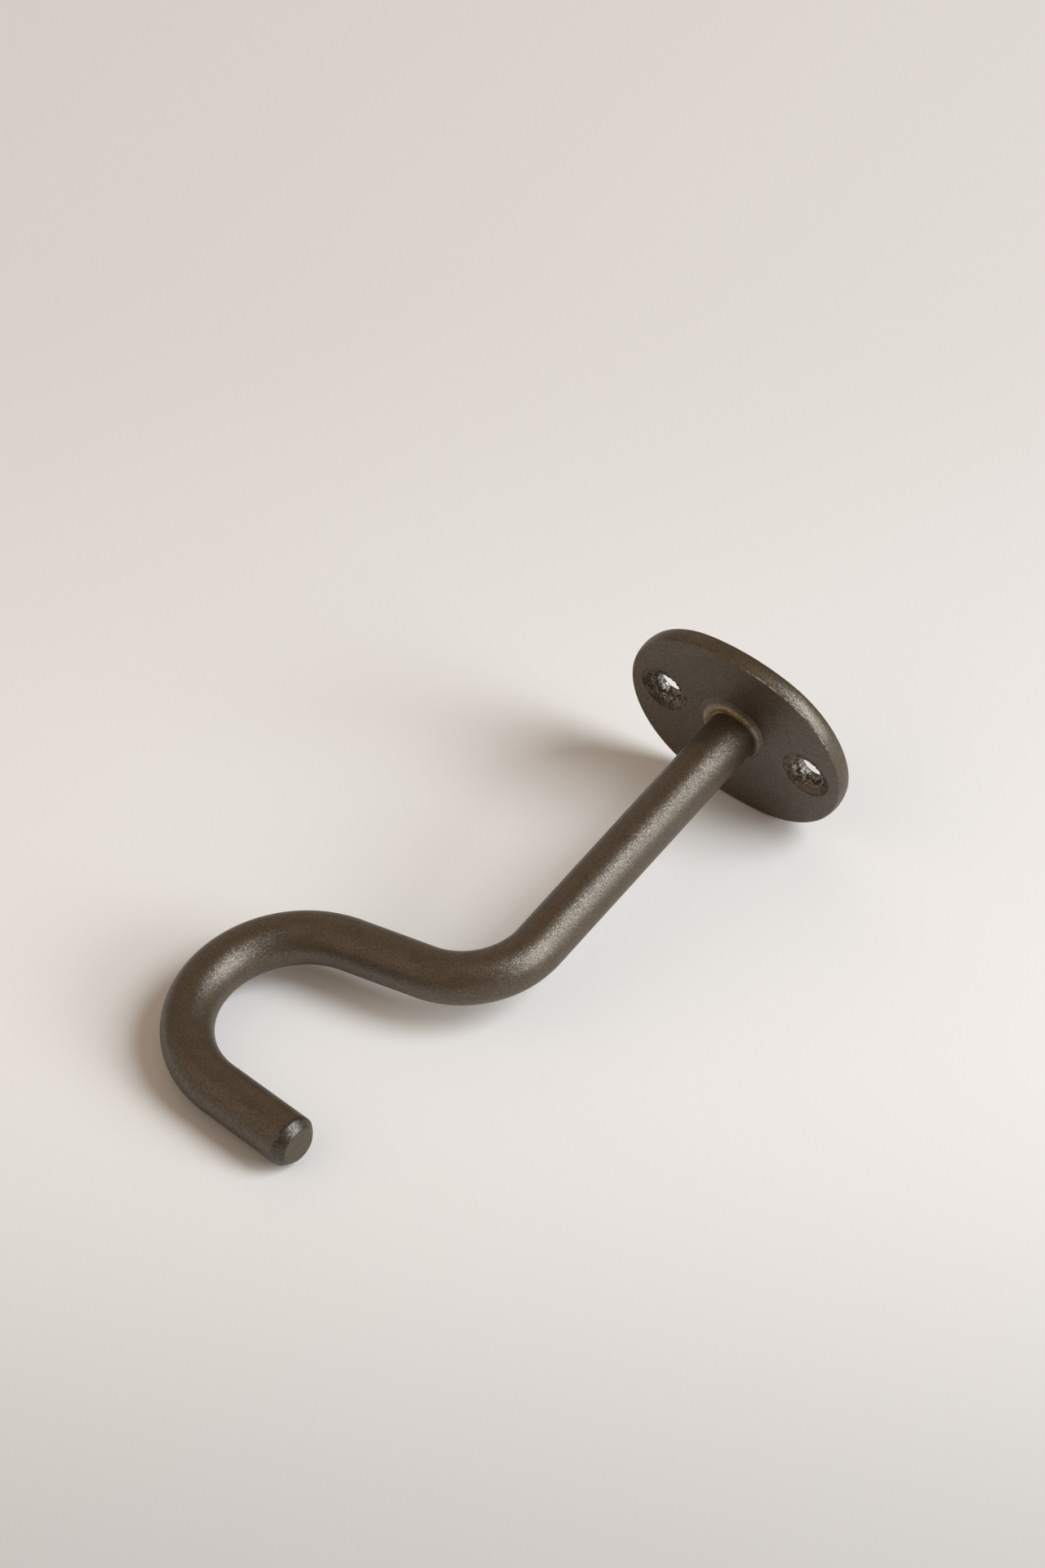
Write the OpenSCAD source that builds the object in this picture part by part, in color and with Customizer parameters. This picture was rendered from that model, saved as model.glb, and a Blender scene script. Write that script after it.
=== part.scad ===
// Curtain rod hook: a round bar bent into a drop and an open hook, standing square on an
// oval wall plate with two countersunk screw holes.
//
// The wall plate's back lies in the plane X = 0, +X points out from the wall and +Z is up
// in use. The stem's centre line is the X axis. Millimetres and degrees.

/* [Wall plate] */
// Length of the plate along the line of the screws
plate_length = 47.5; // [40:0.5:70]
// Width of the plate across that line
plate_width = 40; // [30:0.5:60]
// Thickness of the plate
plate_thickness = 3.4; // [2.5:0.1:6]
// How much smaller the end curves' radius is than half of the shorter side
end_relief = 0.5; // [0.3:0.1:3]
// How far the edge swells out at the middle of its thickness
edge_crown = 0.3; // [0.1:0.05:0.6]

/* [Screw holes] */
// Distance from a screw's centre to the plate's end
screw_edge = 7.75; // [6.5:0.25:10]
// Diameter of the hole that the screw passes through
screw_hole_d = 5.4; // [3:0.1:6.5]
// Diameter of the countersink at the front face
countersink_d = 10.3; // [8:0.1:12]
// Depth of the countersink
countersink_depth = 1.1; // [0.5:0.1:2]

/* [Bar] */
// Diameter of the round bar
bar_d = 10; // [6:0.5:14]
// Straight length of the stem, from the plate's front face to the first bend
stem_length = 61.5; // [20:0.5:120]
// Inside radius of the bend from the stem into the drop
drop_bend_r = 11; // [6:0.5:25]
// Angle that the drop slopes down from the stem
drop_angle = 82; // [45:1:90]
// Straight length of the drop, between the two bends
drop_length = 15.5; // [0.5:0.5:60]
// Angle that the hook is turned about its stem from the line of the screws
hook_turn = 8.5; // [-15:0.5:15]

/* [Hook] */
// Inside diameter of the hook, a little more than the rod that lies in it
hook_d = 30; // [18:0.5:50]
// Angle that the hook bends round under the rod
hook_angle = 164.5; // [120:0.5:180]
// Straight length of the lip, from the end of the hook's bend to the bar's end
lip_length = 20.5; // [5:0.5:40]
// Depth of the chamfer on the bar's end, measured across the bar
tip_chamfer_depth = 1.4; // [0.2:0.1:2.5]
// Length of that chamfer, measured along the bar
tip_chamfer_length = 1.6; // [0.2:0.1:3]

/* [Weld] */
// Radius of the weld bead's rounded crest
bead_r = 0.95; // [0.6:0.05:1.5]
// Distance from the bar's surface to the middle of the bead
bead_reach = 0.75; // [0.3:0.05:1]
// Height of the bead's middle above the plate
bead_rise = 0.2; // [0:0.05:0.5]

/* [Hidden] */

$fn = 96;
CUT = 1;                       // how far a cutter runs past the face it opens
BEND_SEAT = 0.5;               // degrees that a bend runs on into the straights at its ends
DRAW_DOWN = 0.03;              // how much thinner in radius the bar is where it is bent

bar_r = bar_d / 2;
drop_centre_r = drop_bend_r + bar_r;
hook_centre_r = hook_d / 2 + bar_r;

// The oval of four tangent arcs: two end arcs and two flatter side arcs
half_long = max(plate_length, plate_width) / 2;
half_short = min(plate_length, plate_width) / 2;
long_along_screws = plate_length >= plate_width;
end_arc_r = half_short - end_relief;
end_arc_shift = half_long - end_arc_r;
side_arc_r = (end_arc_shift ^ 2 + half_short ^ 2 - end_arc_r ^ 2) / (2 * end_relief);
side_arc_shift = side_arc_r - half_short;

// The crowned edge is one arc across the plate's thickness
crown_r = (edge_crown ^ 2 + (plate_thickness / 2) ^ 2) / (2 * edge_crown);

screw_offset = plate_length / 2 - screw_edge;

powder_coat = [0.27, 0.245, 0.21];

// Half section of the plate's edge: flat faces out to the crowned rim at a radius
module edge_section(radius) {
    intersection() {
        square([radius, plate_thickness]);
        union() {
            square([radius - 2 * edge_crown, plate_thickness]);
            translate([radius - crown_r, plate_thickness / 2]) circle(r = crown_r);
        }
    }
}

// A disc with the crowned edge
module crowned_disc(radius) {
    rotate_extrude() edge_section(radius);
}

// The oval between its end arcs: where two large discs overlap, cut off along the lines from
// the end arcs' centres through the points where the arcs touch
module oval_waist() {
    corner_y = half_short + CUT;
    corner = [end_arc_shift * (1 + corner_y / side_arc_shift), corner_y];
    intersection() {
        translate([0, -side_arc_shift, 0]) crowned_disc(side_arc_r);
        translate([0, side_arc_shift, 0]) crowned_disc(side_arc_r);
        translate([0, 0, -CUT]) linear_extrude(plate_thickness + 2 * CUT)
            polygon([[end_arc_shift, 0], corner, [-corner.x, corner.y],
                     [-end_arc_shift, 0], -corner, [corner.x, -corner.y]]);
    }
}

// The plate's body, flat on the XY plane, with its longer side along X
module oval_body() {
    if (half_long > half_short) {
        oval_waist();
        for (side = [-1, 1]) translate([side * end_arc_shift, 0, 0]) crowned_disc(end_arc_r);
    } else {
        crowned_disc(half_short);
    }
}

// The hole for one screw, cut down from the front face
module screw_cutter() {
    translate([0, 0, -CUT]) cylinder(d = screw_hole_d, h = plate_thickness + 2 * CUT);
    slope = (countersink_d - screw_hole_d) / countersink_depth;
    translate([0, 0, plate_thickness - countersink_depth])
        cylinder(d1 = screw_hole_d, d2 = countersink_d + slope * CUT, h = countersink_depth + CUT);
}

// Turns what lies on the XY plane to stand on the wall, with its X along the line of the screws
module onto_wall() {
    rotate([0, 90, 0]) children();
}

module wall_plate() {
    color(powder_coat) onto_wall()
        difference() {
            rotate([0, 0, long_along_screws ? 0 : 90]) oval_body();
            for (side = [-1, 1]) translate([side * screw_offset, 0, 0]) screw_cutter();
        }
}

// A straight of the bar along +X, with what follows it at its end
module bar_straight(length) {
    rotate([0, 90, 0]) cylinder(r = bar_r, h = length);
    translate([length, 0, 0]) children();
}

// A bend of the bar in the XZ plane, down or up, with what follows it at its end. Its two
// ends run a little way into the straights on either side, which bending has not drawn down.
module bar_bend(radius, angle, down) {
    side = down ? 1 : -1;
    first_angle = down ? 90 - angle : 270;
    translate([0, 0, -side * radius]) {
        rotate([90, 0, 0])
            rotate_extrude(angle = angle + 2 * BEND_SEAT, start = first_angle - BEND_SEAT)
                translate([radius, 0]) circle(r = bar_r - DRAW_DOWN);
        rotate([0, side * angle, 0]) translate([0, 0, side * radius]) children();
    }
}

// The chamfered end of the bar
module bar_tip() {
    rotate([0, 90, 0])
        cylinder(r1 = bar_r, r2 = bar_r - tip_chamfer_depth, h = tip_chamfer_length);
}

module hook_bar() {
    color(powder_coat)
        rotate([hook_turn, 0, 0]) translate([plate_thickness, 0, 0])
            bar_straight(stem_length)
                bar_bend(drop_centre_r, drop_angle, down = true)
                    bar_straight(drop_length)
                        bar_bend(hook_centre_r, hook_angle, down = false)
                            bar_straight(lip_length - tip_chamfer_length)
                                bar_tip();
}

// The ring of weld in the corner between the stem and the plate
module weld_bead() {
    outer_r = bar_r + bead_reach + bead_r;
    color(powder_coat) onto_wall() translate([0, 0, plate_thickness])
        rotate_extrude()
            intersection() {
                translate([bar_r + bead_reach, bead_rise]) circle(r = bead_r);
                translate([bar_r, 0]) square([outer_r - bar_r, bead_rise + bead_r]);
            }
}

wall_plate();
hook_bar();
weld_bead();
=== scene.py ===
"""Looks of a curtain rod hook: a dark bronze, finely flaked powder coat over a steel bar,
its oval wall plate and the weld between them, lying on a pale table in soft studio light.

Everything is in metres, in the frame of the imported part: the plate's back lies in the plane
X = 0, +X points out from the wall, +Z is up in use and the stem's centre line is the X axis.
"""

import logging
import math
from dataclasses import dataclass, field
from enum import Enum

import bmesh
import bpy
from mathutils import Matrix, Vector, noise
from mathutils.geometry import tessellate_polygon

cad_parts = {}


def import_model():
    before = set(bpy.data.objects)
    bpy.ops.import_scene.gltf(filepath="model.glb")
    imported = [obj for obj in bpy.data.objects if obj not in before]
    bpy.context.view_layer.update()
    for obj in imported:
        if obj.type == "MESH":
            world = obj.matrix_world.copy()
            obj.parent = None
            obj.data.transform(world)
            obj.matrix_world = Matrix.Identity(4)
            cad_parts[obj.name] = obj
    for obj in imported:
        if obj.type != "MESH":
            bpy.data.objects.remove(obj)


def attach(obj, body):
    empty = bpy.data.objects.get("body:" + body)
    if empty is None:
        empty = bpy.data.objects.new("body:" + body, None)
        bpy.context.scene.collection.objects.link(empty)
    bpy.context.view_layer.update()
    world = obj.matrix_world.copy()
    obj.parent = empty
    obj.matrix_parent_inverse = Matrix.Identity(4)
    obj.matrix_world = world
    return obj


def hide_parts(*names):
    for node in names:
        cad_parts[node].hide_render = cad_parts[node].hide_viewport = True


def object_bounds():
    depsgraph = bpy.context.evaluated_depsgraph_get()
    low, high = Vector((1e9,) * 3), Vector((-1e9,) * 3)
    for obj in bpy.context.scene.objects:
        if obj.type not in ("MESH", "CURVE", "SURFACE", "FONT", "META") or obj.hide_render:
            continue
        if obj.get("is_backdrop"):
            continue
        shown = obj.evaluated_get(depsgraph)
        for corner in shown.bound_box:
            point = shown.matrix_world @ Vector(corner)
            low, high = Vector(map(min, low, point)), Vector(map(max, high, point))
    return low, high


log = logging.getLogger("curtain_rod_hook")

MM = 0.001
BODY = "root"

# Sizes that more than one piece or finish goes by. The crisp side of the plate's edge faces
# a bearing in degrees, from up towards the right.
PLATE_THICKNESS = 3.4 * MM
SCREW_OFFSET = 16.0 * MM
BAR_R = 5.0 * MM
CRISP_BEARING = -56.0

# The curve from a screen's levels to linear light
SCREEN_TOP = 255
SCREEN_TOE = 0.04045
SCREEN_TOE_SLOPE = 12.92
SCREEN_OFFSET = 0.055
SCREEN_POWER = 2.4

# The mean of a random pattern's values, which run from 0 to 1
MEAN = 0.5

Colour = tuple[float, float, float]
Socket = bpy.types.NodeSocket


def linear(level: float) -> float:
    """Turns one of a screen's levels into linear light.

    Args:
        level: The level, from 0 to 255.

    Returns:
        The light, from 0 to 1.
    """
    share = level / SCREEN_TOP
    if share <= SCREEN_TOE:
        return share / SCREEN_TOE_SLOPE
    return ((share + SCREEN_OFFSET) / (1 + SCREEN_OFFSET)) ** SCREEN_POWER


def srgb(red: float, green: float, blue: float) -> Colour:
    """Turns a colour's levels on a screen, each from 0 to 255, into linear light."""
    return linear(red), linear(green), linear(blue)


def eased(share: float) -> float:
    """Holds a share between 0 and 1 and smooths both of its ends."""
    held = min(1.0, max(0.0, share))
    return held * held * (3 - 2 * held)


def turns(count: int) -> list[float]:
    """Divides a full turn into as many equal steps, in radians."""
    return [2 * math.pi * step / count for step in range(count)]


@dataclass(frozen=True)
class Grain:
    """A cloudy pattern: its patches' size, and how fine and how strong the detail in them is."""

    size: float
    detail: float = 2.0
    roughness: float = 0.5


@dataclass(frozen=True)
class Step:
    """A smooth step from low to high while another value goes from start to end."""

    start: float
    end: float
    low: float = 0.0
    high: float = 1.0


class NodeTree:
    """Adds and joins the nodes of one material. Its place is a point's place in metres."""

    def __init__(self, material: bpy.types.Material) -> None:
        """Empties a material's node tree.

        Args:
            material: The material to write to.
        """
        material.use_nodes = True
        self.tree = material.node_tree
        self.tree.nodes.clear()
        self.place = self.add("ShaderNodeTexCoord").outputs["Object"]

    def add(self, kind: str, settings: dict | None = None, **inputs: object) -> bpy.types.Node:
        """Adds a node, sets its properties and fills or links its sockets.

        Args:
            kind: The node's type, such as "ShaderNodeMix".
            settings: Properties of the node by name.
            inputs: Values or output sockets by input name, spaces written as underscores,
                or by number as in_0, in_1 and so on.

        Returns:
            The new node.
        """
        node = self.tree.nodes.new(kind)
        for name, value in (settings or {}).items():
            setattr(node, name, value)
        for name, value in inputs.items():
            key = int(name.removeprefix("in_")) if name.startswith("in_") else name.replace("_", " ")
            socket = node.inputs[key]
            if isinstance(value, Socket):
                self.tree.links.new(value, socket)
            elif isinstance(value, tuple) and socket.type == "RGBA":
                socket.default_value = (*value, 1.0)
            else:
                socket.default_value = value
        return node

    def math(self, operation: str, *values: object) -> Socket:
        """Adds a math node.

        Args:
            operation: The operation, such as "MULTIPLY".
            values: One to three numbers or sockets.

        Returns:
            The node's result.
        """
        inputs = {f"in_{index}": value for index, value in enumerate(values)}
        return self.add("ShaderNodeMath", {"operation": operation}, **inputs).outputs[0]

    def vector(self, operation: str, *values: object) -> Socket:
        """Adds a vector math node.

        Args:
            operation: The operation, such as "ADD".
            values: One to three vectors or sockets.

        Returns:
            The node's vector result.
        """
        inputs = {f"in_{index}": value for index, value in enumerate(values)}
        return self.add("ShaderNodeVectorMath", {"operation": operation}, **inputs).outputs[0]

    def clouds(self, grain: Grain) -> Socket:
        """Adds a cloudy pattern.

        Args:
            grain: The pattern's size and detail.

        Returns:
            The pattern's value, about 0.5 on average.
        """
        return self.add("ShaderNodeTexNoise", Vector=self.place, Scale=1 / grain.size,
                        Detail=grain.detail, Roughness=grain.roughness).outputs["Fac"]

    def step(self, value: Socket, step: Step) -> Socket:
        """Puts a value through a smooth step.

        Args:
            value: The value.
            step: The step.

        Returns:
            The stepped value.
        """
        node = self.add("ShaderNodeMapRange", {"interpolation_type": "SMOOTHSTEP"}, Value=value,
                        From_Min=step.start, From_Max=step.end, To_Min=step.low, To_Max=step.high)
        return node.outputs[0]

    def toward(self, bearing: float) -> Socket:
        """Measures how far round the stem's line a place lies from one side.

        Args:
            bearing: The side's bearing in degrees, from up towards the right.

        Returns:
            A value from 1 on that side to -1 on the other.
        """
        side = (0.0, math.sin(math.radians(bearing)), math.cos(math.radians(bearing)))
        level = self.vector("NORMALIZE", self.vector("MULTIPLY", self.place, (0.0, 1.0, 1.0)))
        node = self.add("ShaderNodeVectorMath", {"operation": "DOT_PRODUCT"}, in_0=level, in_1=side)
        return node.outputs["Value"]

    def bumpy(self, height: Socket, depth: float) -> Socket:
        """Roughens the surface.

        Args:
            height: A pattern's value.
            depth: How high the pattern stands in metres.

        Returns:
            The rough surface's normal.
        """
        return self.add("ShaderNodeBump", Height=height, Distance=depth, Strength=1.0).outputs[0]

    def blend(self, share: object, first: object, second: object) -> Socket:
        """Mixes two colours.

        Args:
            share: How much of the second colour, as a number or a socket.
            first: The first colour, as linear values or a socket.
            second: The second colour.

        Returns:
            The mixed colour.
        """
        # A mix node takes colours by its inputs 6 and 7, and gives one by its output 2
        node = self.add("ShaderNodeMix", {"data_type": "RGBA"}, in_0=share, in_6=first, in_7=second)
        return node.outputs[2]

    def gloss(self, colour: object, roughness: float, **others: object) -> Socket:
        """Adds a layer of resin or metal.

        Args:
            colour: Its colour, as linear values or a socket.
            roughness: Its roughness.
            others: The shader's other inputs by name.

        Returns:
            The layer.
        """
        return self.add("ShaderNodeBsdfPrincipled", Base_Color=colour, Roughness=roughness,
                        **others).outputs[0]

    def layers(self, share: Socket, under: Socket, over: Socket) -> Socket:
        """Lays one layer over another in part.

        Args:
            share: How much of the upper layer shows.
            under: The lower layer.
            over: The upper layer.

        Returns:
            Both layers as one.
        """
        return self.add("ShaderNodeMixShader", in_0=share, in_1=under, in_2=over).outputs[0]


@dataclass(frozen=True)
class Finish:
    """What every finish has: a name and a surface."""

    name: str

    def surface(self, nodes: NodeTree) -> Socket:
        """Builds the surface.

        Args:
            nodes: The material's nodes.

        Returns:
            The surface's shader.
        """
        raise NotImplementedError

    def material(self) -> bpy.types.Material:
        """Builds the finish.

        Returns:
            The new material.
        """
        made = bpy.data.materials.new(self.name)
        nodes = NodeTree(made)
        nodes.add("ShaderNodeOutputMaterial", Surface=self.surface(nodes))
        return made


@dataclass(frozen=True)
class PowderCoat(Finish):
    """A satin powder coat: dark resin with fine metal flakes lying nearly flat in it."""

    name: str = "powder_coat"
    resin: Colour = srgb(60, 46, 29)
    resin_dark: Colour = srgb(49, 37, 23)
    resin_roughness: float = 0.46
    resin_ior: float = 1.45
    mottle: Grain = Grain(3.5 * MM, 5.0, 0.65)
    mottle_step: Step = Step(0.35, 0.65)
    peel: Grain = Grain(0.45 * MM, 3.0, 0.55)
    peel_depth: float = 0.004 * MM
    flake_colour: Colour = srgb(212, 201, 182)
    flake_size: float = 0.125 * MM
    flake_tilt: float = 0.29
    flake_roughness: float = 0.365
    clusters: Grain = Grain(0.22 * MM, 1.0)
    crowding: float = 1.6
    flakes_shown: Step = Step(0.15, 1.0, 0.03, 0.155)

    def tint(self, nodes: NodeTree, colour: Socket) -> Socket:
        """Lets a finish that follows this one change the resin's colour.

        Args:
            nodes: The material's nodes.
            colour: The resin's colour.

        Returns:
            The colour to use.
        """
        return colour

    def wear(self, nodes: NodeTree, coat: Socket) -> Socket:
        """Lets a finish that follows this one wear the coat away.

        Args:
            nodes: The material's nodes.
            coat: The coat's shader.

        Returns:
            The shader to use.
        """
        return coat

    def surface(self, nodes: NodeTree) -> Socket:
        """Lays flakes in the mottled resin.

        Args:
            nodes: The material's nodes.

        Returns:
            The coat's shader.
        """
        mottled = nodes.step(nodes.clouds(self.mottle), self.mottle_step)
        colour = self.tint(nodes, nodes.blend(mottled, self.resin_dark, self.resin))
        skin = nodes.bumpy(nodes.clouds(self.peel), self.peel_depth)
        resin = nodes.gloss(colour, self.resin_roughness, IOR=self.resin_ior, Normal=skin)

        cells = nodes.add("ShaderNodeTexVoronoi", Vector=nodes.place, Scale=1 / self.flake_size,
                          Randomness=1.0).outputs["Color"]
        turn = nodes.vector("SUBTRACT", cells, (MEAN, MEAN, MEAN))
        tilt = nodes.vector("MULTIPLY", turn, (self.flake_tilt, self.flake_tilt, self.flake_tilt))
        facing = nodes.vector("NORMALIZE", nodes.vector("ADD", skin, tilt))
        flakes = nodes.gloss(self.flake_colour, self.flake_roughness, Metallic=1.0, Normal=facing)

        draw = nodes.add("ShaderNodeSeparateColor", Color=cells).outputs["Blue"]
        cluster = nodes.math("SUBTRACT", nodes.clouds(self.clusters), MEAN)
        crowd = nodes.math("MULTIPLY_ADD", cluster, self.crowding, draw)
        shown = nodes.step(crowd, self.flakes_shown)
        return self.wear(nodes, nodes.layers(shown, resin, flakes))


@dataclass(frozen=True)
class WeldCoat(PowderCoat):
    """The powder coat over the weld, with a painted highlight along its crest, strongest on the lit side."""

    name: str = "weld_coat"
    # Painted highlight: the lighter colour on the weld's crest
    crest_highlight: Colour = srgb(156, 136, 103)
    crest_step: Step = Step(3.6 * MM, 3.98 * MM)
    patches: Grain = Grain(2.2 * MM)
    patch_step: Step = Step(0.35, 0.6, 0.35, 1.0)
    # The side where the light falls, on which the painted highlight is strongest
    thin_bearing: float = -126.87
    thin_step: Step = Step(-0.7, 0.6, 0.3, 1.0)

    def tint(self, nodes: NodeTree, colour: Socket) -> Socket:
        """Paints a highlight onto the crest, strongest on the side towards the light.

        Args:
            nodes: The material's nodes.
            colour: The resin's colour.

        Returns:
            The colour to use.
        """
        height = nodes.add("ShaderNodeSeparateXYZ", Vector=nodes.place).outputs["X"]
        patchy = nodes.step(nodes.clouds(self.patches), self.patch_step)
        # Painted highlight: lighter on the crest, in patches, most on the side towards the light
        lit_side = nodes.step(nodes.toward(self.thin_bearing), self.thin_step)
        share = nodes.math("MULTIPLY", nodes.step(height, self.crest_step), patchy)
        return nodes.blend(nodes.math("MULTIPLY", share, lit_side), colour, self.crest_highlight)


@dataclass(frozen=True)
class WornEdge(PowderCoat):
    """The powder coat on the plate's front edge, worn through in places on the crisp side."""

    name: str = "worn_edge"
    bare: Colour = srgb(196, 188, 172)
    bare_metallic: float = 0.6
    bare_roughness: float = 0.45
    crisp_step: Step = Step(0.80, 0.94)
    strokes: Grain = Grain(0.8 * MM, 4.0, 0.7)
    stroke_step: Step = Step(0.44, 0.54, 0.0, 0.85)

    def wear(self, nodes: NodeTree, coat: Socket) -> Socket:
        """Bares the metal in short strokes.

        Args:
            nodes: The material's nodes.
            coat: The coat's shader.

        Returns:
            The shader to use.
        """
        crisp = nodes.step(nodes.toward(CRISP_BEARING), self.crisp_step)
        stroke = nodes.step(nodes.clouds(self.strokes), self.stroke_step)
        metal = nodes.gloss(self.bare, self.bare_roughness, Metallic=self.bare_metallic)
        return nodes.layers(nodes.math("MULTIPLY", crisp, stroke), coat, metal)


@dataclass(frozen=True)
class ChurnedCoat(Finish):
    """The coat in a countersink: painted shade in a ring under the lip, rusty over the ribs
    and worn to the metal round the bore."""

    name: str = "churned_coat"
    resin: Colour = srgb(24, 18, 12)
    light_resin: Colour = srgb(88, 74, 50)
    # Painted shade in a ring under the countersink's lip
    lip_shade_colour: Colour = srgb(12, 9, 6)
    rust: Colour = srgb(104, 70, 44)
    bare: Colour = srgb(168, 158, 138)
    resin_roughness: float = 0.16
    resin_ior: float = 1.36
    bare_roughness: float = 0.3
    drifts: Grain = Grain(2.4 * MM, 3.0, 0.6)
    drift_step: Step = Step(0.46, 0.56)
    spots: Grain = Grain(0.6 * MM, 3.0, 0.6)
    rust_step: Step = Step(0.58, 0.68, 0.0, 0.6)
    # Where the painted shade under the lip lies, broken up by the drifts
    lip_shade_step: Step = Step(4.35 * MM, 4.95 * MM)
    lip_shade_drift: Step = Step(0.44, 0.54, 0.95, 0.25)
    lumps: Grain = Grain(0.42 * MM, 3.0, 0.6)
    lump_depth: float = 0.06 * MM
    worn_step: Step = Step(0.46, 0.62)
    near_bore: Step = Step(3.8 * MM, 3.2 * MM, 0.16, 1.0)

    def from_screw(self, nodes: NodeTree) -> Socket:
        """Measures how far a place is from the line of its screw.

        Args:
            nodes: The material's nodes.

        Returns:
            The distance in metres.
        """
        place = nodes.add("ShaderNodeSeparateXYZ", Vector=nodes.place).outputs
        along = nodes.math("SUBTRACT", nodes.math("ABSOLUTE", place["Z"]), SCREW_OFFSET)
        across = nodes.math("MULTIPLY", place["Y"], place["Y"])
        return nodes.math("SQRT", nodes.math("MULTIPLY_ADD", along, along, across))

    def surface(self, nodes: NodeTree) -> Socket:
        """Churns resin, rust and bare metal together, and paints shade in a ring under the lip.

        Args:
            nodes: The material's nodes.

        Returns:
            The surface's shader.
        """
        radius = self.from_screw(nodes)
        drift = nodes.clouds(self.drifts)
        colour = nodes.blend(nodes.step(drift, self.drift_step), self.resin, self.light_resin)
        colour = nodes.blend(nodes.step(nodes.clouds(self.spots), self.rust_step), colour, self.rust)
        # Painted shade in a ring under the lip
        shade_share = nodes.math("MULTIPLY", nodes.step(radius, self.lip_shade_step),
                          nodes.step(drift, self.lip_shade_drift))
        colour = nodes.blend(shade_share, colour, self.lip_shade_colour)
        lumps = nodes.clouds(self.lumps)
        lumpy = nodes.bumpy(lumps, self.lump_depth)
        resin = nodes.gloss(colour, self.resin_roughness, IOR=self.resin_ior, Normal=lumpy)
        metal = nodes.gloss(self.bare, self.bare_roughness, Metallic=1.0, Normal=lumpy)
        worn = nodes.math("MULTIPLY", nodes.step(lumps, self.worn_step), nodes.step(radius, self.near_bore))
        return nodes.layers(worn, resin, metal)


@dataclass(frozen=True)
class BareSteel(Finish):
    """The bore of a screw hole: patches of bright steel between splashes of dark coat."""

    name: str = "bare_steel"
    steel: Colour = srgb(150, 146, 138)
    splash: Colour = srgb(40, 33, 26)
    rust: Colour = srgb(100, 66, 48)
    steel_roughness: float = 0.32
    splash_roughness: float = 0.3
    splash_ior: float = 1.5
    splashes: Grain = Grain(0.75 * MM, 4.0, 0.65)
    splash_step: Step = Step(0.42, 0.54)
    spots: Grain = Grain(0.9 * MM)
    rust_step: Step = Step(0.55, 0.68)
    lumps: Grain = Grain(0.35 * MM, 3.0, 0.6)
    lump_depth: float = 0.06 * MM

    def surface(self, nodes: NodeTree) -> Socket:
        """Splashes rusty coat over the steel.

        Args:
            nodes: The material's nodes.

        Returns:
            The surface's shader.
        """
        lumpy = nodes.bumpy(nodes.clouds(self.lumps), self.lump_depth)
        steel = nodes.gloss(self.steel, self.steel_roughness, Metallic=1.0, Normal=lumpy)
        colour = nodes.blend(nodes.step(nodes.clouds(self.spots), self.rust_step), self.splash, self.rust)
        splash = nodes.gloss(colour, self.splash_roughness, IOR=self.splash_ior, Normal=lumpy)
        return nodes.layers(nodes.step(nodes.clouds(self.splashes), self.splash_step), steel, splash)


@dataclass(frozen=True)
class TableTop(Finish):
    """The pale, matt table. It is seen only from above, so that nothing hides the hook."""

    name: str = "table_top"
    colour: Colour = srgb(236, 236, 236)
    # Painted falloff of the light: darker towards the table's near and far edges
    near_shade: Colour = srgb(201, 201, 201)
    far_shade: Colour = srgb(227, 226, 226)
    fade: Step = Step(0.02, 0.19)

    def surface(self, nodes: NodeTree) -> Socket:
        """Paints the light's falloff onto the table: darker from its middle towards its near and far edges.

        Args:
            nodes: The material's nodes.

        Returns:
            The surface's shader.
        """
        away = nodes.add("ShaderNodeSeparateXYZ", Vector=nodes.place).outputs["Y"]
        colour = nodes.blend(nodes.step(away, self.fade), self.colour, self.far_shade)
        back = nodes.math("MULTIPLY", away, -1.0)
        colour = nodes.blend(nodes.step(back, self.fade), colour, self.near_shade)
        matt = nodes.add("ShaderNodeBsdfDiffuse", Color=colour).outputs[0]
        clear = nodes.add("ShaderNodeBsdfTransparent").outputs[0]
        behind = nodes.add("ShaderNodeNewGeometry").outputs["Backfacing"]
        return nodes.layers(behind, matt, clear)


class Region(Enum):
    """Which finish a patch of a piece takes."""

    COAT = 0
    EDGE = 1
    CHAMFER = 2
    COUNTERSINK = 3
    BORE = 4


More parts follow.
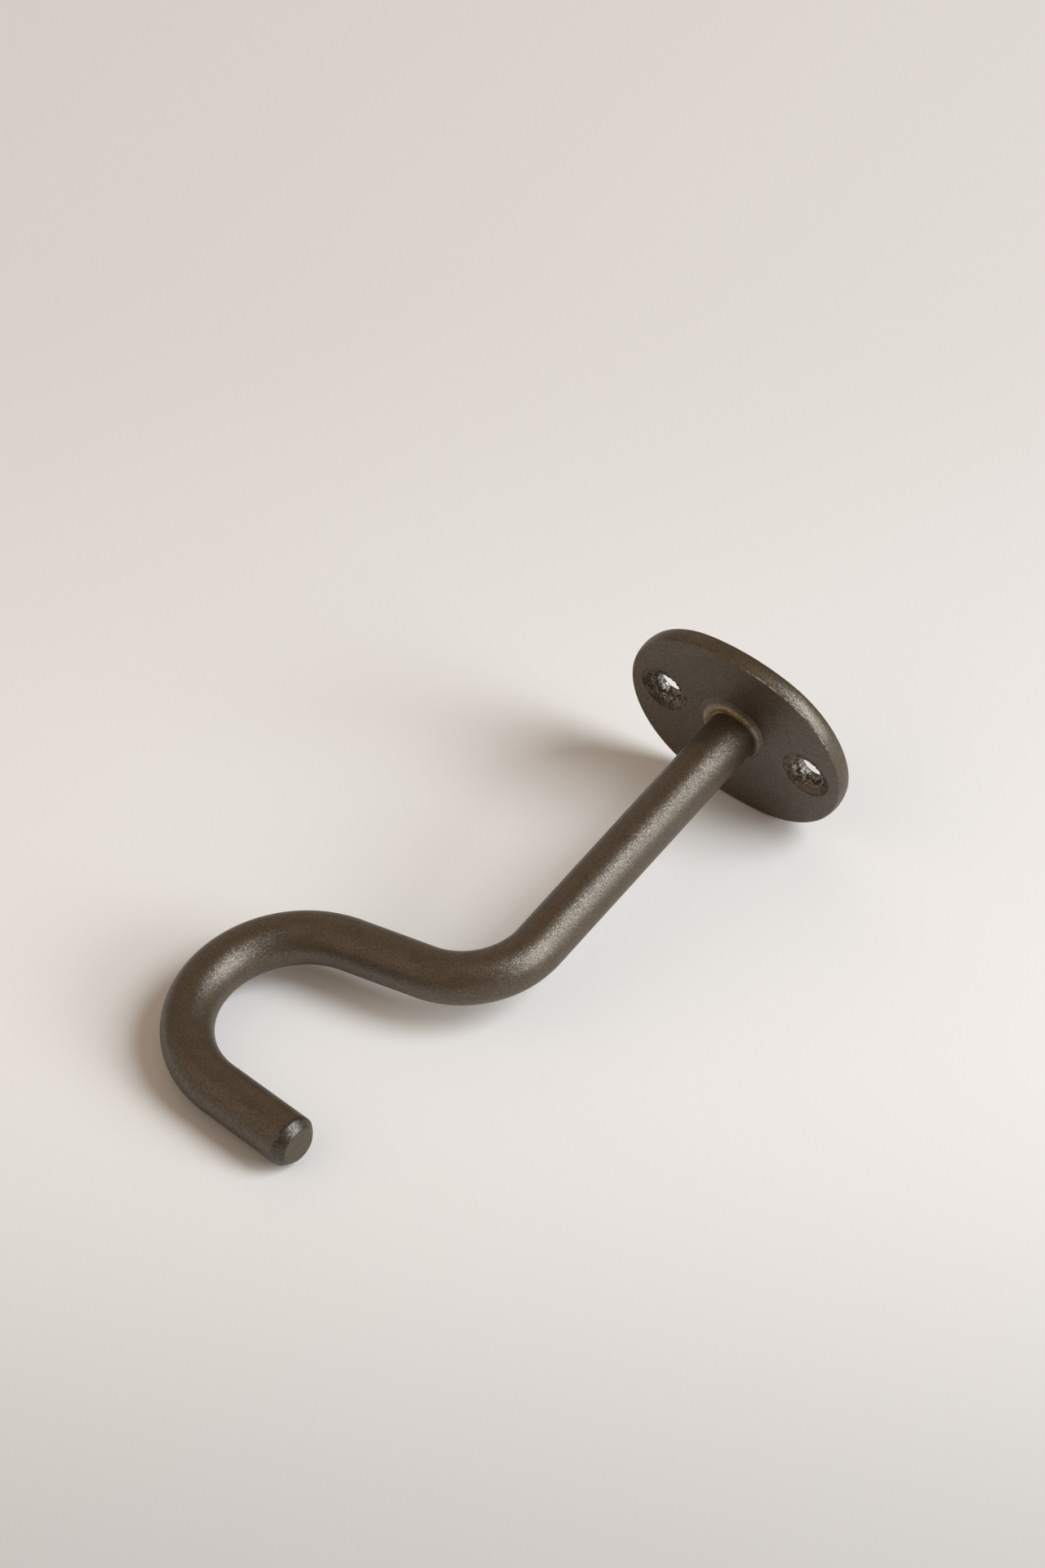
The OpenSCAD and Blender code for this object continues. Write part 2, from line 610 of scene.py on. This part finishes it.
class Skin:
    """A closed surface that is put together from rings of points."""

    def __init__(self) -> None:
        """Starts an empty surface."""
        self.points: list[Vector] = []
        self.faces: list[tuple[int, ...]] = []
        self.regions: list[Region] = []

    def ring(self, points: list[Vector]) -> list[int]:
        """Adds a ring of points.

        Args:
            points: The points in order, in metres.

        Returns:
            Their numbers in the surface.
        """
        start = len(self.points)
        self.points.extend(points)
        return list(range(start, len(self.points)))

    def bridge(self, first: list[int], second: list[int], region: Region = Region.COAT) -> None:
        """Joins two rings of as many points with a band of faces.

        Args:
            first: The first ring.
            second: The next ring, its points in the same order.
            region: The finish of the band.
        """
        count = len(first)
        for here in range(count):
            after = (here + 1) % count
            self.face((first[here], first[after], second[after], second[here]), region)

    def close(self, ring: list[int], middle: Vector) -> None:
        """Closes a ring with a fan of coated faces.

        Args:
            ring: The ring to close.
            middle: The point where the faces meet.
        """
        centre = self.ring([middle])[0]
        for here, number in enumerate(ring):
            self.face((number, ring[(here + 1) % len(ring)], centre), Region.COAT)

    def fill(self, rings: list[list[int]], back: bool) -> None:
        """Fills a flat outline that has holes in it.

        Args:
            rings: The outline first, then its holes.
            back: Whether the face looks towards the wall.
        """
        numbers = [number for ring in rings for number in ring]
        flat = [[Vector((self.points[n].z, self.points[n].y, 0)) for n in ring] for ring in rings]
        for corners in tessellate_polygon(flat):
            one, two, three = (numbers[corner] for corner in corners)
            across = (self.points[two] - self.points[one]).cross(self.points[three] - self.points[one])
            self.face((one, two, three) if (across.x < 0) == back else (one, three, two), Region.COAT)

    def face(self, corners: tuple[int, ...], region: Region) -> None:
        """Adds one face.

        Args:
            corners: The numbers of its corners.
            region: Its finish.
        """
        self.faces.append(corners)
        self.regions.append(region)

    def piece(self, name: str, node: str, finishes: dict[Region, bpy.types.Material]) -> bpy.types.Object:
        """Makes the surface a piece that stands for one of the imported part's.

        Args:
            name: The piece's name.
            node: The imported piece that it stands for.
            finishes: A material for each region.

        Returns:
            The new piece.
        """
        mesh = bpy.data.meshes.new(name)
        mesh.from_pydata(self.points, [], self.faces)
        order = list(finishes)
        for region in order:
            mesh.materials.append(finishes[region])
        for polygon, region in zip(mesh.polygons, self.regions):
            polygon.material_index = order.index(region)
            polygon.use_smooth = True
        shape = bmesh.new()
        shape.from_mesh(mesh)
        bmesh.ops.recalc_face_normals(shape, faces=shape.faces[:])
        shape.to_mesh(mesh)
        shape.free()
        made = bpy.data.objects.new(name, mesh)
        bpy.context.scene.collection.objects.link(made)
        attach(made, BODY)
        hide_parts(node)
        log.info("%s: %d faces", name, len(mesh.polygons))
        return made


@dataclass(frozen=True)
class Unevenness:
    """Small smooth ups and downs of a surface, the same every time."""

    seed: float
    size: float

    def at(self, place: Vector) -> float:
        """Reads the unevenness.

        Args:
            place: A point in metres.

        Returns:
            A value that swings between about -1 and 1.
        """
        return noise.noise(place / self.size + Vector((self.seed, 2 * self.seed, 3 * self.seed)))


@dataclass(frozen=True)
class ScrewHole:
    """A countersunk hole: a rounded lip, a cone left ribbed by the cutter, and a rough bore."""

    middle: float
    hole_r: float = 2.7 * MM
    sink_r: float = 5.15 * MM
    sink_depth: float = 1.1 * MM
    lip: float = 0.14 * MM
    collar: float = 0.5 * MM
    steps: int = 148
    # The cutter's ribs, which wander, fade at both ends and crumble
    cone_rings: int = 12
    cone_start: float = 0.05
    ribs: int = 37
    rib_height: float = 0.16 * MM
    rib_twist: float = 2.2
    rib_wander: float = 1.3
    rib_fade: float = 1.1
    rib_evenly: float = 0.55
    rib_patchily: float = 0.75
    rib_crumbling: float = 0.55
    # The groove under the lip and the burr above the bore, by their share of the way down
    groove: float = 0.13 * MM
    groove_place: float = 0.12
    groove_width: float = 0.08
    burr: float = 0.24 * MM
    burr_place: float = 0.93
    burr_width: float = 0.09
    burr_evenly: float = 0.7
    burr_crumbling: float = 0.9
    # The bore, torn open at the foot of the cone
    bore_rings: int = 14
    torn_r: float = 3.2 * MM
    torn_depth: float = 0.5 * MM
    torn_curve: float = 1.5
    tear: float = 0.13 * MM
    tear_start: float = 0.15
    fine_share: float = 0.5
    patches: Unevenness = Unevenness(1.7, 2.4 * MM)
    wander: Unevenness = Unevenness(4.1, 1.8 * MM)
    crumbs: Unevenness = Unevenness(9.3, 0.32 * MM)
    tears: Unevenness = Unevenness(6.2, 0.55 * MM)
    fine_tears: Unevenness = Unevenness(2.9, 0.25 * MM)

    # How far out and how far down each ring of the lip lies, as shares of its rounding
    LIP = ((1.0, 0.0), (0.45, 0.10), (0.0, 0.40))

    def point(self, height: float, radius: float, angle: float) -> Vector:
        """Places a point by its height above the wall and its place round the hole."""
        return Vector((height, radius * math.sin(angle), self.middle + radius * math.cos(angle)))

    def ring(self, radius: float, height: float) -> list[Vector]:
        """Draws a plain circle round the hole.

        Args:
            radius: The circle's radius.
            height: How far it stands from the wall.

        Returns:
            The circle's points.
        """
        return [self.point(height, radius, angle) for angle in turns(self.steps)]

    def cone_depth(self) -> float:
        """Tells how deep the cone is where the torn bore cuts it short."""
        return self.sink_depth * (self.sink_r - self.torn_r) / (self.sink_r - self.hole_r)

    def cone_point(self, angle: float, share: float) -> Vector:
        """Places a point of the ribbed cone.

        Args:
            angle: The angle round the hole.
            share: How far down the cone, from 0 at the lip to 1 at the bore.

        Returns:
            The point.
        """
        radius = self.sink_r + share * (self.torn_r - self.sink_r)
        plain = self.point(PLATE_THICKNESS - share * self.cone_depth(), radius, angle)
        crumb = self.crumbs.at(plain)
        rib = math.sin(self.ribs * angle + self.rib_twist * share + self.rib_wander * self.wander.at(plain))
        rib *= self.rib_evenly + self.rib_patchily * self.patches.at(plain)
        swell = max(0.0, math.sin(math.pi * min(1.0, self.rib_fade * share)))
        lift = self.rib_height * swell * (rib + self.rib_crumbling * crumb)
        burr = self.burr * max(0.0, 1 - abs(share - self.burr_place) / self.burr_width)
        burr *= self.burr_evenly + self.burr_crumbling * crumb
        groove = self.groove * math.exp(-((share - self.groove_place) / self.groove_width) ** 2)
        return plain + Vector((lift + burr - groove, 0, 0))

    def bore_point(self, angle: float, share: float) -> Vector:
        """Places a point of the rough bore.

        Args:
            angle: The angle round the hole.
            share: How far through the bore, from 0 at the cone to 1 at the wall.

        Returns:
            The point.
        """
        edge = PLATE_THICKNESS - self.cone_depth()
        height = (1 - share) * edge
        reach = self.torn_depth + self.sink_depth - self.cone_depth()
        open_by = max(0.0, 1 - (edge - height) / reach) ** self.torn_curve
        plain = self.point(height, self.hole_r, angle)
        torn = self.tears.at(plain) + self.fine_share * self.fine_tears.at(plain)
        radius = self.hole_r + open_by * (self.torn_r - self.hole_r)
        radius += self.tear * torn * math.sin(math.pi * min(1.0, self.tear_start + share))
        return self.point(height, radius, angle)

    def cut(self, skin: Skin) -> tuple[list[int], list[int]]:
        """Adds the hole's surface.

        Args:
            skin: The plate's surface.

        Returns:
            The rings in the plate's front and back faces.
        """
        bands = [(self.ring(self.sink_r + out * self.lip, PLATE_THICKNESS - down * self.lip), Region.COAT)
                 for out, down in self.LIP]
        for number in range(1, self.cone_rings + 1):
            share = self.cone_start + (1 - self.cone_start) * number / self.cone_rings
            points = [self.cone_point(angle, share) for angle in turns(self.steps)]
            bands.append((points, Region.COUNTERSINK))
        for number in range(1, self.bore_rings):
            points = [self.bore_point(angle, number / self.bore_rings) for angle in turns(self.steps)]
            bands.append((points, Region.BORE))
        bands.append((self.ring(self.hole_r, self.lip), Region.BORE))
        bands.append((self.ring(self.hole_r + self.lip, 0.0), Region.BORE))
        bands.append((self.ring(self.hole_r + self.lip + self.collar, 0.0), Region.COAT))
        front = last = skin.ring(self.ring(self.sink_r + self.collar, PLATE_THICKNESS))
        for points, region in bands:
            here = skin.ring(points)
            skin.bridge(last, here, region)
            last = here
        return front, last


@dataclass(frozen=True)
class WallPlate:
    """The oval plate: flat faces, a crowned rim, edges rounded by hand and two screw holes."""

    half_long: float = 23.74 * MM
    half_short: float = 19.99 * MM
    end_relief: float = 0.5 * MM
    edge_crown: float = 0.3 * MM
    crisp_round: float = 0.22 * MM
    soft_round: float = 0.5 * MM
    back_round: float = 0.15 * MM
    flat_margin: float = 0.35 * MM
    crisp_reach: float = 62.0
    crisp_fade: float = 45.0
    steps: int = 320
    round_rings: int = 8
    crown_rings: int = 6

    def outline(self, angle: float, inset: float) -> tuple[float, float]:
        """Follows the oval of four tangent arcs.

        Args:
            angle: The direction that the edge faces, from up towards the right.
            inset: How far inside the edge.

        Returns:
            The place up and to the right of the plate's middle.
        """
        up, right = math.cos(angle), math.sin(angle)
        end_r = self.half_short - self.end_relief
        end_shift = self.half_long - end_r
        side_r = (end_shift ** 2 + self.half_short ** 2 - end_r ** 2) / (2 * self.end_relief)
        side_shift = side_r - self.half_short
        if math.atan2(abs(right), abs(up)) < math.atan2(side_shift, end_shift):
            return math.copysign(end_shift, up) + (end_r - inset) * up, (end_r - inset) * right
        return (side_r - inset) * up, (side_r - inset) * right - math.copysign(side_shift, right)

    def front_round(self, angle: float) -> float:
        """Gives the front edge's rounding, which is crisp on one side only.

        Args:
            angle: The direction that the edge faces.

        Returns:
            The rounding's radius.
        """
        away = abs((math.degrees(angle) - CRISP_BEARING + 180) % 360 - 180)
        soft = eased((away - self.crisp_reach) / self.crisp_fade)
        return self.crisp_round + soft * (self.soft_round - self.crisp_round)

    def rim(self, angle: float) -> list[tuple[float, float]]:
        """Draws the edge's section from the front face round to the back face.

        Args:
            angle: The direction that the edge faces.

        Returns:
            How far inside the edge and how far from the wall each point lies.
        """
        half = PLATE_THICKNESS / 2
        crown_r = (self.edge_crown ** 2 + half ** 2) / (2 * self.edge_crown)
        rounds = []
        tangents = []
        for radius, side in ((self.front_round(angle), 1), (self.back_round, -1)):
            tangent = math.asin((half - radius) / (crown_r - radius))
            inset = crown_r - (crown_r - radius) * math.cos(tangent)
            section = [(inset + self.flat_margin, half + side * half)]
            for number in range(self.round_rings + 1):
                turn = math.pi / 2 + (tangent - math.pi / 2) * number / self.round_rings
                section.append((inset - radius * math.cos(turn),
                                half + side * (half - radius + radius * math.sin(turn))))
            rounds.append(section)
            tangents.append(tangent)
        front, back = tangents
        crown = []
        for number in range(1, self.crown_rings):
            turn = front - (front + back) * number / self.crown_rings
            crown.append((crown_r - crown_r * math.cos(turn), half + crown_r * math.sin(turn)))
        return rounds[0] + crown + rounds[1][::-1]

    def build(self, finishes: dict[Region, bpy.types.Material]) -> bpy.types.Object:
        """Builds the plate and dresses it.

        Args:
            finishes: A material for each region.

        Returns:
            The plate.
        """
        skin = Skin()
        sections = [self.rim(angle) for angle in turns(self.steps)]
        rings = []
        for places in zip(*sections):
            points = []
            for angle, (inset, height) in zip(turns(self.steps), places):
                up, right = self.outline(angle, inset)
                points.append(Vector((height, right, up)))
            rings.append(skin.ring(points))
        for number, (first, second) in enumerate(zip(rings, rings[1:])):
            skin.bridge(first, second, Region.EDGE if 0 < number <= self.round_rings else Region.COAT)
        holes = [ScrewHole(side * SCREW_OFFSET).cut(skin) for side in (-1, 1)]
        skin.fill([rings[0], *(front for front, _ in holes)], back=False)
        skin.fill([rings[-1], *(back for _, back in holes)], back=True)
        return skin.piece("oval_plate", "wall_plate", finishes)


@dataclass(frozen=True)
class HookBar:
    """The round bar, bent by hand into a drop and an open hook, its end chamfered and eased."""

    # The bar starts inside the plate
    start: float = 3.2 * MM
    stem_length: float = 61.5 * MM
    drop_bend_r: float = 16.0 * MM
    drop_angle: float = 82.0
    drop_length: float = 15.5 * MM
    hook_bend_r: float = 20.0 * MM
    hook_angle: float = 164.5
    lip_length: float = 20.5 * MM
    turn: float = 8.5
    draw_down: float = 0.03 * MM
    draw_steps: int = 3
    uneven: float = 0.035 * MM
    wave: Unevenness = Unevenness(5.5, 7 * MM)
    spacing: float = 0.8 * MM
    bend_step: float = 2.5
    steps: int = 72
    # The chamfered end, whose chamfer is eased where it starts and where it meets the end face
    chamfer_depth: float = 1.4 * MM
    chamfer_length: float = 1.6 * MM
    chamfer_bands: int = 7
    chamfer_middle: float = 0.62
    ease: float = 0.55 * MM
    ease_bow: float = 0.25
    ease_rings: int = 5

    # The corner of the end face: the share of the chamfer's length, and millimetres further
    # out than the chamfer's end
    CORNER = ((0.82, 0.10), (0.93, -0.04), (0.985, -0.25), (1.0, -0.55))
    # The rings in the end face, as shares of its radius
    END_FACE = (0.66, 0.33)

    def path(self) -> list[tuple[Vector, Vector, float]]:
        """Walks the bar's centre line up to the chamfer.

        Returns:
            Each ring's centre, direction, and how far bending has drawn the bar down there.
        """
        # Each stretch's length, or its bend's radius and angle
        stretches = ((self.stem_length + PLATE_THICKNESS - self.start, 0.0, 0.0),
                     (0.0, self.drop_bend_r, -self.drop_angle),
                     (self.drop_length, 0.0, 0.0),
                     (0.0, self.hook_bend_r, self.hook_angle),
                     (self.lip_length - self.chamfer_length, 0.0, 0.0))
        place, heading = Vector((self.start, 0, 0)), 0.0
        found = [(place.copy(), Vector((1, 0, 0)), 0.0)]
        for length, bend_r, angle in stretches:
            count = max(1, round(length / self.spacing if length else abs(angle) / self.bend_step))
            for number in range(count):
                half = math.radians(angle) / count / 2
                chord = length / count if length else 2 * bend_r * math.sin(abs(half))
                heading += half
                place = place + chord * Vector((math.cos(heading), 0, math.sin(heading)))
                heading += half
                from_end = min(number + 1, count - number - 1, self.draw_steps)
                drawn = from_end / self.draw_steps * self.draw_down if angle else 0.0
                found.append((place.copy(), Vector((math.cos(heading), 0, math.sin(heading))), drawn))
        return found

    def tilt(self) -> Matrix:
        """Gives the hook's turn about its stem."""
        return Matrix.Rotation(math.radians(self.turn), 3, "X")

    def around(self, centre: Vector, ahead: Vector, radius: float) -> list[Vector]:
        """Draws a ring round the centre line.

        Args:
            centre: The ring's centre, in the plane of the hook.
            ahead: The centre line's direction there.
            radius: The ring's radius, from which the surface dips in places.

        Returns:
            The ring's points, turned with the hook about its stem.
        """
        side = Vector((0, 1, 0))
        above = side.cross(ahead)
        tilt = self.tilt()
        points = []
        for angle in turns(self.steps):
            outward = side * math.cos(angle) + above * math.sin(angle)
            dip = self.uneven * (1 + self.wave.at(centre + outward * radius)) / 2
            points.append(tilt @ (centre + outward * (radius - dip)))
        return points

    def end_section(self) -> list[tuple[float, float]]:
        """Draws the bar's end from the chamfer's start to the end face, with eased corners.

        Returns:
            How far along and how far out each ring lies.
        """
        rise = self.chamfer_depth / self.chamfer_length
        inner = BAR_R - self.chamfer_depth
        section = []
        for number in range(self.ease_rings):
            across = 2 * number / (self.ease_rings - 1) - 1
            bow = self.ease_bow * self.ease * math.atan(rise) * (1 - across ** 2) / 2
            section.append((self.ease * across, BAR_R - max(0.0, across) * self.ease * rise - bow))
        section.append((self.chamfer_length * self.chamfer_middle,
                        BAR_R - self.chamfer_depth * self.chamfer_middle))
        section.extend((self.chamfer_length * share, inner + out * MM) for share, out in self.CORNER)
        section.extend((self.chamfer_length, inner * share) for share in self.END_FACE)
        return section

    def build(self, finishes: dict[Region, bpy.types.Material]) -> bpy.types.Object:
        """Builds the bar and dresses it.

        Args:
            finishes: A material for each region.

        Returns:
            The bar.
        """
        skin = Skin()
        path = self.path()
        rings = [skin.ring(self.around(centre, ahead, BAR_R - drawn)) for centre, ahead, drawn in path[:-1]]
        chamfer = range(len(rings), len(rings) + self.chamfer_bands)
        tip, ahead, _ = path[-1]
        for along, out in self.end_section():
            rings.append(skin.ring(self.around(tip + ahead * along, ahead, out)))
        for number, (first, second) in enumerate(zip(rings, rings[1:])):
            skin.bridge(first, second, Region.CHAMFER if number in chamfer else Region.COAT)
        skin.close(rings[0][::-1], path[0][0])
        skin.close(rings[-1], self.tilt() @ (tip + ahead * self.chamfer_length))
        return skin.piece("bent_bar", "hook_bar", finishes)


@dataclass(frozen=True)
class WeldRing:
    """The hand-laid ring of weld that runs out smoothly onto the plate under its coat."""

    buried: float = 0.12 * MM
    ripples: int = 21
    ripple_height: float = 0.03 * MM
    ripple_twist: float = 0.9
    ripple_start: float = 0.3
    lean: float = 0.45
    lean_angle: float = -143.0
    spread: float = 0.14
    swell: float = 0.14
    spreads: Unevenness = Unevenness(3.3, 3.2 * MM)
    swells: Unevenness = Unevenness(8.1, 2.2 * MM)
    steps: int = 180

    # How far out from the bar and how high above the plate each ring lies, in millimetres
    SECTION = ((-0.25, 0.55), (0.0, 0.48), (0.20, 0.38), (0.42, 0.46), (0.66, 0.64), (0.90, 0.70),
               (1.12, 0.60), (1.34, 0.40), (1.60, 0.20), (1.90, 0.07), (2.25, 0.0))
    # How far out the rings of the underside lie, which is buried in the plate
    UNDERSIDE = (2.3, -0.25)

    def around(self, angle: float, reach: float) -> Vector:
        """Places a point round the bar, where the ring leans and spreads.

        Args:
            angle: The angle round the bar.
            reach: How far out from the bar, in millimetres where the ring is even.

        Returns:
            The point, in the plane of the wall.
        """
        out = Vector((0, math.sin(angle), math.cos(angle)))
        lean = self.lean * math.cos(angle - math.radians(self.lean_angle))
        wide = 1 + lean + self.spread * self.spreads.at(out * BAR_R) if reach > 0 else 1
        return out * (BAR_R + reach * wide * MM)

    def top_point(self, angle: float, reach: float, rise: float) -> Vector:
        """Places a point of the weld's rippled top.

        Args:
            angle: The angle round the bar.
            reach: How far out from the bar, in millimetres where the ring is even.
            rise: How high above the plate, in millimetres where the ring is even.

        Returns:
            The point.
        """
        place = self.around(angle, reach)
        height = rise * (1 + self.swell * self.swells.at(place)) * MM
        if reach > self.ripple_start:
            height += self.ripple_height * rise * math.sin(self.ripples * angle + self.ripple_twist * reach)
        return place + Vector((PLATE_THICKNESS + height, 0, 0))

    def build(self, finishes: dict[Region, bpy.types.Material]) -> bpy.types.Object:
        """Builds the ring and dresses it.

        Args:
            finishes: A material for each region.

        Returns:
            The ring of weld.
        """
        skin = Skin()
        angles = turns(self.steps)
        sunk = Vector((PLATE_THICKNESS - self.buried, 0, 0))
        rings = [skin.ring([self.top_point(angle, reach, rise) for angle in angles])
                 for reach, rise in self.SECTION]
        rings.extend(skin.ring([self.around(angle, reach) + sunk for angle in angles])
                     for reach in self.UNDERSIDE)
        for first, second in zip(rings, [*rings[1:], rings[0]]):
            skin.bridge(first, second)
        return skin.piece("weld_ring", "weld_bead", finishes)


@dataclass(frozen=True)
class Table:
    """The plane that the hook lies on: it touches the plate's edge and the hook's bend.
    Its distance is measured from where the stem's centre line meets the wall."""

    down: Vector = field(default_factory=lambda: Vector((0.1161, 0.9868, 0.1129)).normalized())
    distance: float = 20.22 * MM
    side: float = 3.0

    def build(self, finish: TableTop, under: Vector, facing: Vector) -> bpy.types.Object:
        """Builds the table top.

        Args:
            finish: The table's finish.
            under: The point that the table is centred under.
            facing: The direction in which it runs away from the viewer.

        Returns:
            The table top.
        """
        half = self.side / 2
        mesh = bpy.data.meshes.new("table_top")
        corners = [(-half, -half, 0), (half, -half, 0), (half, half, 0), (-half, half, 0)]
        mesh.from_pydata(corners, [], [(0, 1, 2, 3)])
        top = bpy.data.objects.new("table_top", mesh)
        top.rotation_mode = "QUATERNION"
        up = -self.down
        away = (facing - up * facing.dot(up)).normalized()
        top.rotation_quaternion = Matrix((away.cross(up), away, up)).transposed().to_quaternion()
        top.location = under + self.down * (self.distance - under.dot(self.down))
        mesh.materials.append(finish.material())
        bpy.context.scene.collection.objects.link(top)
        top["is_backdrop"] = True
        return top


@dataclass(frozen=True)
class SoftLight:
    """A soft box, placed by its bearing and height as seen from the hook on the table."""

    name: str
    bearing: float
    height: float
    distance: float
    width: float
    tall: float
    power: float
    colour: Colour


@dataclass
class Studio:
    """Camera, table and lights, with places and directions in the part's frame."""

    camera_place: Vector = field(default_factory=lambda: Vector((0.70588, -1.09077, 0.41906)))
    camera_right: Vector = field(default_factory=lambda: Vector((-0.59242, -0.03628, 0.80481)))
    camera_ahead: Vector = field(default_factory=lambda: Vector((-0.49388, 0.80561, -0.32722)))
    focal_px: float = 9000.0
    frame_height_px: float = 1920.0
    sensor: float = 36.0
    nearest: float = 0.01
    table: Table = field(default_factory=Table)
    subject: Vector = field(default_factory=lambda: Vector((0.056, 0.0, -0.013)))
    room_colour: Colour = (1.0, 0.74, 0.51)
    room_light: float = 0.22

    def camera(self) -> bpy.types.Object:
        """Sets the camera up.

        Returns:
            The camera.
        """
        data = bpy.data.cameras.new("camera")
        data.sensor_width = self.sensor
        data.lens = self.focal_px / self.frame_height_px * self.sensor
        data.clip_start = self.nearest
        made = bpy.data.objects.new("camera", data)
        ahead = self.camera_ahead.normalized()
        right = (self.camera_right - ahead * self.camera_right.dot(ahead)).normalized()
        up = right.cross(ahead)
        turn = Matrix((right, up, -ahead)).transposed().to_4x4()
        made.matrix_world = Matrix.Translation(self.camera_place) @ turn
        bpy.context.scene.collection.objects.link(made)
        bpy.context.scene.camera = made
        return made

    def light(self, box: SoftLight) -> bpy.types.Object:
        """Hangs one soft box over the table.

        Args:
            box: Where the soft box hangs and what it gives.

        Returns:
            The light.
        """
        up = -self.table.down
        away = (self.camera_ahead - up * self.camera_ahead.dot(up)).normalized()
        right = away.cross(up)
        bearing = math.radians(box.bearing)
        height = math.radians(box.height)
        level = away * math.cos(bearing) + right * math.sin(bearing)
        toward = level * math.cos(height) + up * math.sin(height)
        data = bpy.data.lights.new(box.name, "AREA")
        data.shape = "ELLIPSE"
        data.size = box.width
        data.size_y = box.tall
        data.energy = box.power
        data.color = box.colour
        made = bpy.data.objects.new(box.name, data)
        made.rotation_mode = "QUATERNION"
        across = up.cross(toward).normalized()
        made.rotation_quaternion = Matrix((across, toward.cross(across), toward)).transposed().to_quaternion()
        made.location = self.subject + toward * box.distance
        bpy.context.scene.collection.objects.link(made)
        return made

    def room(self) -> bpy.types.World:
        """Fills the room with even light.

        Returns:
            The room.
        """
        made = bpy.data.worlds.new("room")
        made.use_nodes = True
        sky = made.node_tree.nodes["Background"]
        sky.inputs["Color"].default_value = (*self.room_colour, 1.0)
        sky.inputs["Strength"].default_value = self.room_light
        bpy.context.scene.world = made
        return made


# The coat on the bar's chamfered end, darker all round: a painted shade of the chamfer
SHADED_CHAMFER_COAT = PowderCoat(name="thin_coat", resin=srgb(26, 17, 9), resin_dark=srgb(20, 13, 7),
                       flakes_shown=Step(0.15, 1.0, 0.02, 0.16))

LIGHTS = (
    SoftLight("window", bearing=102.0, height=48.0, distance=1.6, width=0.88, tall=0.88, power=17.8,
              colour=(0.92, 0.965, 1.0)),
    SoftLight("sill", bearing=114.0, height=22.0, distance=1.6, width=0.95, tall=0.6, power=13.0,
              colour=(0.94, 0.97, 1.0)),
    SoftLight("left_wall", bearing=-110.0, height=32.0, distance=1.2, width=2.0, tall=1.2, power=3.2,
              colour=(1.0, 0.84, 0.69)),
    SoftLight("far_wall", bearing=-20.0, height=30.0, distance=1.2, width=1.2, tall=0.8, power=1.0,
              colour=(1.0, 0.86, 0.72)),
    SoftLight("ceiling", bearing=-90.0, height=78.0, distance=1.2, width=1.4, tall=1.4, power=0.8,
              colour=(1.0, 0.86, 0.72)),
)


def save_bounds(sizes: dict[str, list[list[float]]], key: str) -> None:
    """Args:
        sizes: The boxes noted so far, to which this one is added.
        key: The name of this box.
    """
    low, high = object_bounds()
    sizes[key] = [list(low), list(high)]


def main() -> None:
    """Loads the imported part, dresses it and lights it."""
    logging.basicConfig(level=logging.INFO, format="%(name)s: %(message)s")
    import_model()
    sizes: dict[str, list[list[float]]] = {}
    save_bounds(sizes, "cad")
    finishes = {
        Region.COAT: PowderCoat().material(),
        Region.EDGE: WornEdge().material(),
        Region.CHAMFER: SHADED_CHAMFER_COAT.material(),
        Region.COUNTERSINK: ChurnedCoat().material(),
        Region.BORE: BareSteel().material(),
    }
    WallPlate().build(finishes)
    HookBar().build(finishes)
    WeldRing().build({Region.COAT: WeldCoat().material()})
    studio = Studio()
    studio.table.build(TableTop(), studio.subject, studio.camera_ahead)
    studio.camera()
    for box in LIGHTS:
        studio.light(box)
    studio.room()
    bpy.context.scene.view_settings.view_transform = "Standard"
    save_bounds(sizes, "visual")


if __name__ == "__main__":
    main()
